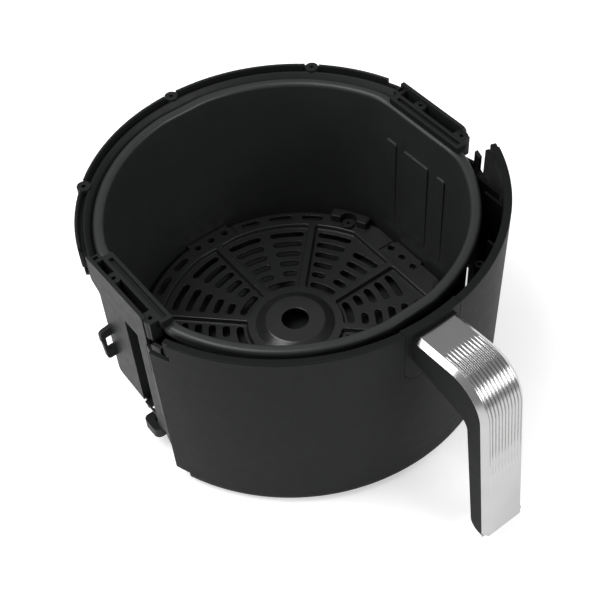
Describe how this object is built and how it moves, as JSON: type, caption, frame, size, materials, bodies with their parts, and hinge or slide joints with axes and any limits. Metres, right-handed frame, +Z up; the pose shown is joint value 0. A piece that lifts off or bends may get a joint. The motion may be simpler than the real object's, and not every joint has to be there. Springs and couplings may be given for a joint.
{
  "type": "air fryer drawer",
  "caption": "Round air fryer basket drawer: coated pan with a slotted lift-out crisper plate, plastic frame, curved front shell and an L-shaped ribbed handle.",
  "frame": {"origin": "on the pan's vertical axis, in the plane the drawer stands on", "axes": "+Z up, -Y towards the handle, +X to the right as seen from the handle"},
  "size_m": [0.2584, 0.3333, 0.1398],
  "materials": {
    "pan_coating": "satin non-stick coating",
    "plate_coating": "satin non-stick coating",
    "bumper_rubber": "matt moulded rubber",
    "frame_plastic": "matt moulded plastic",
    "shell_plastic": "matt moulded plastic",
    "trim_metal": "satin silver",
    "frame_steel": "dull dark steel",
    "screws": "plain steel"
  },
  "bodies": {
    "drawer": {"pan": "pan_coating", "pan_hanger_left": "frame_steel", "pan_hanger_right": "frame_steel", "rear_pan_tab": "frame_steel", "rear_ring": "frame_plastic", "left_bracket": "frame_plastic", "right_bracket": "frame_plastic", "front_shell": "shell_plastic", "handle_body": "shell_plastic", "handle_trim": "trim_metal", "handle_stirrup": "frame_steel", "handle_screws": "screws", "bracket_screws": "screws", "shell_screws": "screws", "ring_screws": "screws", "rear_tab_screw": "screws"},
    "plate": {"crisper_plate": "plate_coating", "bumper_rear_right": "bumper_rubber", "bumper_rear_left": "bumper_rubber", "bumper_front_left": "bumper_rubber", "bumper_front_right": "bumper_rubber"}
  },
  "joints": [
    {"name": "plate_lift", "type": "slide", "parent": "drawer", "child": "plate", "axis": [0, 0, 1], "range_m": [0, 0.145]}
  ]
}
